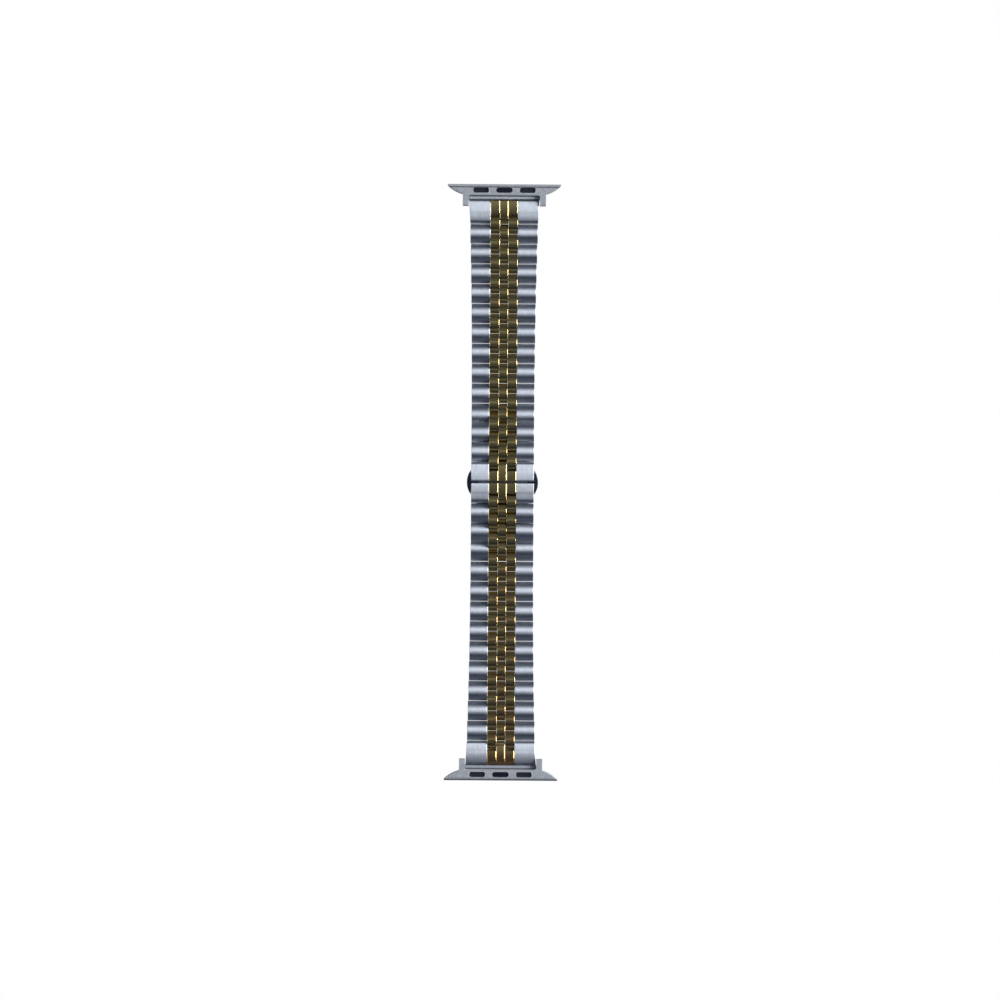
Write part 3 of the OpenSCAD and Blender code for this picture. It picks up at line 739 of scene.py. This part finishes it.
class EndLink:
    """The end link of one half, along the band from its hinge, which is its origin."""

    def __init__(self, half, axes):
        s = sizes()
        self.node = f"end_link_{half}"
        self.wide = half_width(self.node) + s.lug_reach
        self.narrow = self.wide - s.end_flare
        self.last_row_width = row_width(half, ROWS)
        self.pitch = row_pitch(axes)
        self.pin_y = self.pitch / 2
        end_r = self.pitch / 4 - s.steel_gap / 2
        self.lug_y = reach(axes, ROWS + 1)
        self.start = self.pin_y - end_r
        self.stop = self.lug_y - s.lug_neck_l
        self.inlay_start = self.pin_y + end_r + s.column_gap
        self.dome_y = (self.pin_y + self.stop) / 2

    def add_bars(self, maker):
        """The two outer bars, which flare out towards the adapter."""
        s = sizes()
        inner = Columns().outer
        bar = bar_outline(self.start, self.stop, -1, s.end_dome_r)
        bars = maker.both(bar, inner, self.narrow, round_rim(s.steel_edge), bores_at(self.pin_y))
        for corner in bars:
            out = (abs(corner.co.x) - inner) / (self.narrow - inner)
            flare = out * s.end_flare * corner.co.y / self.lug_y
            corner.co.x += copysign(flare, corner.co.x)

    def add_body(self, maker):
        """The body under the strips, and the neck and tube for the lug bar."""
        s = sizes()
        inner = Columns().outer
        roof = s.link_t / 2 - s.strip_t - s.strip_fit
        body = box_outline(self.inlay_start, self.stop, -s.link_t / 2, roof, BODY_CORNER)
        maker.prism(body, -inner, inner, round_rim(BODY_RIM), material=brushed_steel())
        neck_stop = self.lug_y - s.lug_tube_r / 2
        half_t = s.lug_neck_t / 2
        neck = box_outline(self.stop - NECK_ROOT, neck_stop, -half_t, half_t, NECK_CORNER)
        # The neck gets the dark steel: painted shade in the recess between body and tube
        maker.prism(neck, -self.wide, self.wide, round_rim(NECK_RIM), material=dark_steel())
        circle = circle_outline(self.lug_y, 0, s.lug_tube_r, TUBE_POINTS)
        tube = [(y, min(z, s.lug_tube_h)) for y, z in circle]
        bore = (self.lug_y, 0, s.lug_bar_r + s.pin_fit)
        maker.prism(tube, -self.wide, self.wide, round_rim(TUBE_RIM), [bore], tube_steel())

    def steel(self):
        """Bars, body, neck, tube and the two pins."""
        maker = Maker(brushed_steel(), side_steel())
        self.add_bars(maker)
        self.add_body(maker)
        add_pins(maker, (0, self.last_row_width), (self.pin_y, self.narrow))
        return maker.mesh(f"steel_{self.node}")

    def gold(self):
        """The beads that hinge it and the three strips."""
        s = sizes()
        maker = Maker(polished_gold(), dull_gold())
        add_side_beads(maker, self.pitch)
        strip = hinged_strip(self.start, self.stop, self.inlay_start - s.strip_fit, -1)
        add_strips(maker, self.inlay_start, self.stop, strip, self.pin_y, self.dome_y, s.end_dome_r)
        return maker.mesh(f"gold_{self.node}")


class BRACELET_OT_end_links(bpy.types.Operator):
    """Rebuild the end links, their gold strips and the beads that hinge them"""

    bl_idname = "bracelet.end_links"
    bl_label = "End links"

    def execute(self, context):
        for half in HALVES:
            axes = chain(half)
            matrix = placement(half, axes, ROWS + 1)
            show_link(EndLink(half, axes), matrix, f"end_inlay_{half}")
        return {"FINISHED"}


def wound_wire(name, coil_r, wire_r, height, turns):
    """A closed wire that winds up from the origin round Z, in whole and half turns."""
    bm = bmesh.new()
    steps = round(turns * WIRE_STEPS)
    rings = []
    for n in range(steps + 1):
        turn = 2 * pi * n / WIRE_STEPS
        rise = wire_r + (height - 2 * wire_r) * n / steps
        ring = []
        for y, z in circle_outline(coil_r, rise, wire_r, WIRE_SIDES):
            ring.append(bm.verts.new((y * cos(turn), y * sin(turn), z)))
        rings.append(ring)
    for lower, upper in zip(rings, rings[1:]):
        for k in range(WIRE_SIDES):
            bm.faces.new((lower[k - 1], upper[k - 1], upper[k], lower[k]))
    bm.faces.new(rings[0])
    bm.faces.new(rings[-1][::-1])
    bmesh.ops.recalc_face_normals(bm, faces=bm.faces)
    return smooth_mesh(bm, name, [plain_steel()])


def shorten(spring):
    """Gives a spring its own copy of its mesh."""
    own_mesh(spring)


def add_button_spring(name, side):
    """The half of the button spring that one push button presses, from the middle outwards."""
    wire_r = sizes().button_wire_r
    low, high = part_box("button_spring")
    middle = (low + high) / 2
    anchor = (0, middle.y, middle.z)
    coil_r = (high.y - low.y) / 2 - wire_r
    data = wound_wire(f"button_spring_{name}", coil_r, wire_r, high.x, BUTTON_SPRING_TURNS / 2)
    matrix = Matrix.Translation(anchor) @ Matrix.Rotation(side * pi / 2, 4, "Y")
    spring = show(data, matrix, "clasp", "spring_steel", "button_spring")
    shorten(spring)


def add_latch_spring(half):
    """The spring under the latch tab of one adapter."""
    wire_r = sizes().latch_wire_r
    node = f"latch_spring_{half}"
    low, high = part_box(node)
    foot = ((low.x + high.x) / 2, (low.y + high.y) / 2, low.z)
    coil_r = (high.x - low.x) / 2 - wire_r
    data = wound_wire(f"coil_{half}", coil_r, wire_r, high.z - low.z, LATCH_SPRING_TURNS)
    spring = show(data, Matrix.Translation(foot), f"adapter_{half}", "spring_steel", node)
    shorten(spring)


class BRACELET_OT_springs(bpy.types.Operator):
    """Rebuild the springs of the push buttons and latch tabs"""

    bl_idname = "bracelet.springs"
    bl_label = "Springs"

    def execute(self, context):
        add_button_spring("left", -1)
        add_button_spring("right", 1)
        for half in HALVES:
            add_latch_spring(half)
        return {"FINISHED"}


def dress(slot, material, *nodes):
    """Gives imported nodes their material."""
    for node in nodes:
        piece = frame["nodes"][node]
        piece.data.materials.clear()
        piece.data.materials.append(material)


class BRACELET_OT_adapters(bpy.types.Operator):
    """Finish the adapters with their pads, latches and lug bars"""

    bl_idname = "bracelet.adapters"
    bl_label = "Adapters"

    def execute(self, context):
        for half in HALVES:
            dress("adapter_steel", satin_steel(), f"adapter_{half}", f"latch_cover_{half}")
            dress("pad_rubber", pad_rubber(), f"grip_pads_{half}")
            dress("polished_steel", dark_steel(), f"latch_tab_{half}")
            dress("polished_steel", plain_steel(), f"lug_bar_{half}")
        return {"FINISHED"}


class BRACELET_OT_clasp(bpy.types.Operator):
    """Finish the folding clasp with its base, wings, push buttons and pins"""

    bl_idname = "bracelet.clasp"
    bl_label = "Clasp"

    def execute(self, context):
        dress("polished_steel", plain_steel(), "clasp_base", "housing_rivets", "wing_hinge_pins")
        dress("dark_steel", dark_steel(), "latch_housing", "push_button_left", "push_button_right")
        for half in HALVES:
            dress("polished_steel", plain_steel(), f"wing_{half}", f"clasp_bar_{half}")
        return {"FINISHED"}


def feed(tree, node, inputs):
    """Links a node's inputs to other sockets, or sets them to numbers and colours."""
    for name, value in inputs.items():
        socket = node.inputs[name]
        if isinstance(value, bpy.types.NodeSocket):
            tree.links.new(value, socket)
        elif socket.type == "RGBA":
            socket.default_value = (*value, 1)
        else:
            socket.default_value = value


def add_node(tree, kind, inputs=None, **settings):
    """A new shader node of a kind, with its settings and then its inputs."""
    node = tree.nodes.new("ShaderNode" + kind)
    for name, value in settings.items():
        setattr(node, name, value)
    feed(tree, node, inputs or {})
    return node


def math_node(tree, operation, a, b=0.0):
    return add_node(tree, "Math", {0: a, 1: b}, operation=operation).outputs[0]


def vector_node(tree, operation, inputs):
    return add_node(tree, "VectorMath", inputs, operation=operation).outputs[0]


def parts_of(tree, vector):
    return add_node(tree, "SeparateXYZ", {0: vector}).outputs


def ranged(tree, value, low, high, start=0.0, end=1.0):
    """Spreads a value from one range, 0 to 1 if not given, over another."""
    limits = {"From Min": start, "From Max": end, "To Min": low, "To Max": high}
    return add_node(tree, "MapRange", {"Value": value, **limits}).outputs[0]


def mixed(tree, mask, first, second):
    """A colour between two, which are sockets or colours, by a mask."""
    inputs = {"Factor": mask, MIX_FIRST: first, MIX_SECOND: second}
    return add_node(tree, "Mix", inputs, data_type="RGBA").outputs[MIX_RESULT]


def scaled_colour(value, factor):
    return tuple(min(1.0, channel * factor) for channel in value)


def toned(tree, mask, base, darkest, lightest):
    """A colour between a darker and a lighter tone of its base, by a mask."""
    return mixed(tree, mask, scaled_colour(base, darkest), scaled_colour(base, lightest))


def made_once(kind):
    """Has a function make its material or node group only if its name isn't there yet."""

    def wrapped(make):
        name = make.__name__.replace("_", " ").capitalize()

        @wraps(make)
        def found():
            return getattr(bpy.data, kind).get(name) or make(name)

        return found

    return wrapped


def node_group(name, inputs, outputs):
    """A new shader node group with value inputs and outputs, as (group, its inputs, its end)."""
    group = bpy.data.node_groups.new(name, "ShaderNodeTree")
    for label, value in inputs.items():
        socket = group.interface.new_socket(label, in_out="INPUT", socket_type="NodeSocketFloat")
        socket.default_value = value
    for label in outputs:
        group.interface.new_socket(label, in_out="OUTPUT", socket_type="NodeSocketFloat")
    given = group.nodes.new("NodeGroupInput").outputs
    return group, given, group.nodes.new("NodeGroupOutput")


def piece_place(tree):
    """Place on the piece in millimetres, shifted by a random amount for each piece."""
    place = add_node(tree, "TexCoord").outputs["Object"]
    random = add_node(tree, "ObjectInfo").outputs["Random"]
    scaled = vector_node(tree, "SCALE", {0: place, "Scale": 1 / MM})
    return vector_node(tree, "ADD", {0: scaled, 1: math_node(tree, "MULTIPLY", random, MARK_SHIFT)})


def stretched_noise(tree, place, across, along, depth, detail):
    """Noise whose marks are as fine as given across the band, along it and through it."""
    stretch = add_node(tree, "CombineXYZ", {0: across, 1: along, 2: depth}).outputs[0]
    stretched = vector_node(tree, "MULTIPLY", {0: place, 1: stretch})
    inputs = {"Vector": stretched, "Scale": 1, "Detail": detail, "Roughness": 0.6}
    return add_node(tree, "TexNoise", inputs).outputs["Fac"]


@made_once("node_groups")
def brush_marks(name):
    """Fine marks along the band: a height for the bump, and a shade for each mark."""
    group, given, result = node_group(name, {"Across": 14.0, "Along": 0.5}, ["Height", "Shade"])
    across, along = given["Across"], given["Along"]
    place = piece_place(group)
    fine = stretched_noise(group, place, across, along, across, detail=3)
    coarse = math_node(group, "MULTIPLY", across, 0.2)
    broad = stretched_noise(group, place, coarse, along, coarse, detail=2)
    feed(group, result, {"Height": math_node(group, "ADD", fine, broad), "Shade": broad})
    return group


@made_once("node_groups")
def patches(name):
    """Soft patches that differ from piece to piece: a mask for tints and dulled places."""
    group, given, result = node_group(name, {"Scale": 0.35, "Low": 0.45, "High": 0.7}, ["Mask"])
    scale = given["Scale"]
    noise = stretched_noise(group, piece_place(group), scale, scale, scale, detail=3)
    mask = ranged(group, noise, 0.0, 1.0, given["Low"], given["High"])
    feed(group, result, {"Mask": mask})
    return group


def marks_in(tree, across, along):
    """Height and shade of brush marks, with a number of marks to the millimetre each way."""
    inputs = {"Across": across, "Along": along}
    node = add_node(tree, "Group", inputs, node_tree=brush_marks())
    return node.outputs["Height"], node.outputs["Shade"]


def patches_in(tree, scale, low, high):
    """Mask of patches, clear below one level of the noise and full above another."""
    inputs = {"Scale": scale, "Low": low, "High": high}
    return add_node(tree, "Group", inputs, node_tree=patches()).outputs["Mask"]


def principled(name, base, roughness, metallic=1.0):
    """A new material with a Principled shader, as (material, tree, shader)."""
    material = bpy.data.materials.new(name)
    material.use_nodes = True
    tree = material.node_tree
    shader = tree.nodes["Principled BSDF"]
    feed(tree, shader, {"Base Color": base, "Roughness": roughness, "Metallic": metallic})
    return material, tree, shader


def bumped(tree, shader, height, amount, depth=BUMP_DEPTH):
    inputs = {"Strength": amount, "Distance": depth, "Height": height}
    bump = add_node(tree, "Bump", inputs)
    feed(tree, shader, {"Normal": bump.outputs["Normal"]})


def brushed(name, tone, roughness, stretch):
    """Steel brushed along the band, whose reflections stretch across it."""
    steel = scaled_colour(colours().steel, tone)
    material, tree, shader = principled(name, steel, roughness)
    height, shade = marks_in(tree, across=14.0, along=0.5)
    tangent = add_node(tree, "Tangent", direction_type="UV_MAP", uv_map="grain")
    feed(tree, shader, {
        "Base Color": toned(tree, shade, steel, darkest=0.82, lightest=1.16),
        "Roughness": ranged(tree, shade, roughness - 0.06, roughness + 0.06),
        "Anisotropic": stretch,
        "Tangent": tangent.outputs[0],
    })
    bumped(tree, shader, height, 0.25)
    return material


@made_once("materials")
def brushed_steel(name):
    """Tops of the steel links."""
    return brushed(name, 1.0, colours().steel_roughness, colours().steel_brush)


@made_once("materials")
def tube_steel(name):
    """Steel of the lug tubes, darker as painted shade."""
    return brushed(name, 0.72, colours().steel_roughness, colours().steel_brush)


@made_once("materials")
def side_steel(name):
    """Side faces and bores of the steel links, rougher than their tops and darker as painted shade.
    """
    return brushed(name, 0.42, colours().side_roughness, 0.5)


@made_once("materials")
def polished_gold(name):
    """Polished plating with fine wiping marks, a painted copper reflection in patches towards the
    lower end, and painted shade on steep end faces.
    """
    c = colours()
    material, tree, shader = principled(name, c.gold, c.gold_roughness)
    place = add_node(tree, "TexCoord").outputs
    y = parts_of(tree, place["Object"])["Y"]
    # Painted copper reflection: patches that grow towards the lower end, and an even cover on the
    # lower end link
    lower = ranged(tree, y, 0.05, 0.7, 0.0, REFLECTION_FULL_Y)
    end = ranged(tree, y, 0.0, 0.8, END_REFLECTION_START_Y, END_REFLECTION_FULL_Y)
    copper_reflection = math_node(tree, "MULTIPLY", patches_in(tree, scale=0.4, low=0.42, high=0.6), lower)
    gold_with_reflection = mixed(tree, math_node(tree, "MAXIMUM", copper_reflection, end), c.gold, c.copper)
    # Painted shade on the steep end faces, where beads face each other across narrow gaps
    upright = math_node(tree, "ABSOLUTE", parts_of(tree, place["Normal"])["Z"])
    end_face_painted_shade = ranged(tree, upright, 1.0, 0.0, 0.25, 0.65)
    dull = patches_in(tree, scale=0.8, low=0.3, high=0.8)
    feed(tree, shader, {
        "Base Color": mixed(tree, end_face_painted_shade, gold_with_reflection, scaled_colour(c.gold, 0.2)),
        "Roughness": ranged(tree, dull, c.gold_roughness - 0.03, c.gold_roughness + 0.08),
    })
    height, _ = marks_in(tree, across=6.0, along=1.2)
    bumped(tree, shader, height, 0.06)
    return material


@made_once("materials")
def dull_gold(name):
    """Unpolished side faces between the columns of beads, darkened as painted shade for the narrow
    gaps.
    """
    c = colours()
    # The very dark gold colour is painted shade
    material, tree, shader = principled(name, scaled_colour(c.gold, 0.16), 0.55)
    wear = patches_in(tree, scale=1.5, low=0.3, high=0.7)
    feed(tree, shader, {"Base Color": toned(tree, wear, c.gold, darkest=0.1, lightest=0.22)})
    bumped(tree, shader, wear, 0.2)
    return material


def groove_line(tree, y):
    """Mask of the painted shade in the groove that runs along the outer edge of each adapter."""
    upper_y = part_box("adapter_upper")[1].y - sizes().upper_groove
    lower_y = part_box("adapter_lower")[0].y + sizes().lower_groove
    past_upper = math_node(tree, "SUBTRACT", y, upper_y)
    past_lower = math_node(tree, "SUBTRACT", lower_y, y)
    past = math_node(tree, "MAXIMUM", past_upper, past_lower)
    off = math_node(tree, "ABSOLUTE", past)
    return ranged(tree, off, 0.75, 0.0, GROOVE_SHADE_MIDDLE, GROOVE_SHADE_EDGE)


@made_once("materials")
def satin_steel(name):
    """Blasted matte steel of the adapters, with a painted shade line along the groove and painted
    shade on the sides.
    """
    c = colours()
    material, tree, shader = principled(name, c.satin, 0.6, metallic=0.6)
    place = add_node(tree, "TexCoord").outputs
    cloud = patches_in(tree, scale=2.5, low=0.3, high=0.7)
    shade = toned(tree, cloud, c.satin, darkest=0.78, lightest=1.12)
    # Painted shade in the groove along the outer edge
    groove_shade = groove_line(tree, parts_of(tree, place["Object"])["Y"])
    groove_shaded = mixed(tree, groove_shade, shade, scaled_colour(c.satin, 0.15))
    # Painted shade on the faces that look sideways
    sideways = math_node(tree, "ABSOLUTE", parts_of(tree, place["Normal"])["X"])
    side_painted_shade = ranged(tree, sideways, 0.0, 1.0, 0.6, 0.95)
    feed(tree, shader, {
        "Base Color": mixed(tree, side_painted_shade, groove_shaded, scaled_colour(c.satin, 0.3)),
        "Roughness": ranged(tree, cloud, 0.54, 0.66),
    })
    bumped(tree, shader, patches_in(tree, scale=9.0, low=0.3, high=0.7), 0.3)
    return material


@made_once("materials")
def plain_steel(name):
    """Smooth steel of bars, wings and base, with wiping marks."""
    material, tree, shader = principled(name, colours().steel, 0.28)
    height, shade = marks_in(tree, across=5.0, along=0.6)
    feed(tree, shader, {"Roughness": ranged(tree, shade, 0.2, 0.36)})
    bumped(tree, shader, height, 0.1)
    return material


@made_once("materials")
def pin_steel(name):
    """Turned ends of the link pins."""
    material, tree, shader = principled(name, scaled_colour(colours().steel, 0.85), 0.3)
    dull = patches_in(tree, scale=2.0, low=0.3, high=0.8)
    feed(tree, shader, {"Roughness": ranged(tree, dull, 0.22, 0.4)})
    return material


@made_once("materials")
def dark_steel(name):
    """Dark polished steel of the push buttons and their housing; its dark colour is painted shade,
    standing in for steel in shadow.
    """
    c = colours()
    material, tree, shader = principled(name, c.dark, 0.25)
    height, shade = marks_in(tree, across=8.0, along=0.8)
    feed(tree, shader, {
        "Base Color": toned(tree, shade, c.dark, darkest=0.8, lightest=1.3),
        "Roughness": ranged(tree, shade, 0.2, 0.34),
    })
    bumped(tree, shader, height, 0.08)
    return material


@made_once("materials")
def pad_rubber(name):
    """Near black rubber with a fine grain."""
    c = colours()
    material, tree, shader = principled(name, c.rubber, 0.6, metallic=0.0)
    grain = patches_in(tree, scale=6.0, low=0.3, high=0.7)
    feed(tree, shader, {"Base Color": toned(tree, grain, c.rubber, darkest=1.0, lightest=1.8)})
    bumped(tree, shader, grain, 0.4, depth=2 * BUMP_DEPTH)
    return material


def send_out(tree, output, mask, first, second):
    """Sends the first shader out of a tree, or the second where a mask is 1."""
    mix = add_node(tree, "MixShader", {0: mask, 1: first.outputs[0], 2: second.outputs[0]})
    feed(tree, tree.nodes[output], {"Surface": mix.outputs[0]})


def world_light(stage):
    """A dim room with lighter and darker bands along the bracelet, white to the camera."""
    world = bpy.data.worlds.new("Room")
    bpy.context.scene.world = world
    world.use_nodes = True
    tree = world.node_tree
    place = add_node(tree, "TexCoord").outputs["Generated"]
    way = ranged(tree, parts_of(tree, place)["Y"], 0.0, 1.0, -1.0, 1.0)
    ramp = add_node(tree, "ValToRGB", {"Fac": way})
    while len(ramp.color_ramp.elements) < len(ROOM):
        ramp.color_ramp.elements.new(0.5)
    for element, (y, level) in zip(ramp.color_ramp.elements, ROOM):
        element.position = (y + 1) / 2
        element.color = (*(stage.dusk * (1 - level) + stage.room * level), 1)
    room = tree.nodes["Background"]
    feed(tree, room, {"Color": ramp.outputs[0]})
    white = add_node(tree, "Background", {"Color": (1, 1, 1)})
    seen = add_node(tree, "LightPath").outputs["Is Camera Ray"]
    send_out(tree, "World Output", seen, room, white)


def floor_glow(stage):
    """Light upwards from the floor, which is clear to the camera and from below."""
    material = bpy.data.materials.new("White floor")
    material.use_nodes = True
    tree = material.node_tree
    tree.nodes.remove(tree.nodes["Principled BSDF"])
    glow = add_node(tree, "Emission", {"Strength": stage.floor_light})
    clear = add_node(tree, "BsdfTransparent")
    side = add_node(tree, "NewGeometry")
    path = add_node(tree, "LightPath")
    seen = math_node(tree, "MAXIMUM", side.outputs["Backfacing"], path.outputs["Is Camera Ray"])
    send_out(tree, "Material Output", seen, glow, clear)
    return material


def floor_plane(stage):
    """Floor that lights the bracelet from below and hides nothing that swings down through it."""
    half = stage.floor_size / 2
    corners = [(-half, -half, 0), (half, -half, 0), (half, half, 0), (-half, half, 0)]
    data = bpy.data.meshes.new("floor")
    data.from_pydata(corners, [], [(0, 1, 2, 3)])
    data.materials.append(floor_glow(stage))
    floor = add_object("floor", data)
    floor.location.z = cad_box[0].z - FLOOR_CLEARANCE


def side_light(name, side, energy, spread, height, turn=0.0):
    """A soft light that comes in low from one side, -1 for the left and 1 for the right."""
    data = bpy.data.lights.new(name, "SUN")
    data.angle = spread
    data.energy = energy
    data.color = bpy.context.scene.bracelet_stage.side_colour
    lean = Matrix.Rotation(side * (pi / 2 - height), 4, "Y")
    add_object(name, data).matrix_world = Matrix.Rotation(side * turn, 4, "Z") @ lean


def camera_above(stage):
    """A camera that looks straight down on the bracelet."""
    data = bpy.data.cameras.new("camera")
    data.lens = stage.lens
    distance = stage.view_width / 2 / tan(data.angle / 2)
    place = Matrix.Translation((stage.centre_x, stage.centre_y, distance))
    camera = add_object("camera", data)
    camera.matrix_world = place @ Matrix.Rotation(stage.roll, 4, "Z")
    bpy.context.scene.camera = camera


class BRACELET_OT_stage(bpy.types.Operator):
    """Set up the camera, the lit floor, the dim room and the side lights"""

    bl_idname = "bracelet.stage"
    bl_label = "Stage"

    def execute(self, context):
        stage = context.scene.bracelet_stage
        context.scene.view_settings.view_transform = "Standard"
        camera_above(stage)
        world_light(stage)
        floor_plane(stage)
        side_light("left_light", -1, stage.left_light, stage.left_spread, stage.left_height)
        side_light("right_light", 1, stage.right_light, stage.right_spread, stage.right_height,
                   stage.right_turn)
        return {"FINISHED"}


OPERATORS = (
    BRACELET_OT_stage,
    BRACELET_OT_rows,
    BRACELET_OT_clasp_links,
    BRACELET_OT_end_links,
    BRACELET_OT_springs,
    BRACELET_OT_adapters,
    BRACELET_OT_clasp,
)

GROUPS = {
    "bracelet_sizes": BraceletSizes,
    "bracelet_colours": BraceletColours,
    "bracelet_stage": BraceletStage,
}


class BRACELET_PT_panel(bpy.types.Panel):
    """A button for the stage and each group of pieces, and their sizes, colours and lights"""

    bl_label = "Watch bracelet"
    bl_idname = "BRACELET_PT_panel"
    bl_space_type = "VIEW_3D"
    bl_region_type = "UI"
    bl_category = "Bracelet"

    def draw(self, context):
        for operator in OPERATORS:
            self.layout.operator(operator.bl_idname)
        for name, kind in GROUPS.items():
            box = self.layout.box()
            for prop in kind.__annotations__:
                box.prop(getattr(context.scene, name), prop)


CLASSES = (*GROUPS.values(), *OPERATORS, BRACELET_PT_panel)


def register():
    for kind in CLASSES:
        bpy.utils.register_class(kind)
    for name, kind in GROUPS.items():
        setattr(bpy.types.Scene, name, PointerProperty(type=kind))


def unregister():
    for name in GROUPS:
        delattr(bpy.types.Scene, name)
    for kind in reversed(CLASSES):
        bpy.utils.unregister_class(kind)


def main():
    register()
    for operator in OPERATORS:
        name = operator.bl_idname.split(".")[1]
        getattr(bpy.ops.bracelet, name)()


if __name__ == "__main__":
    main()
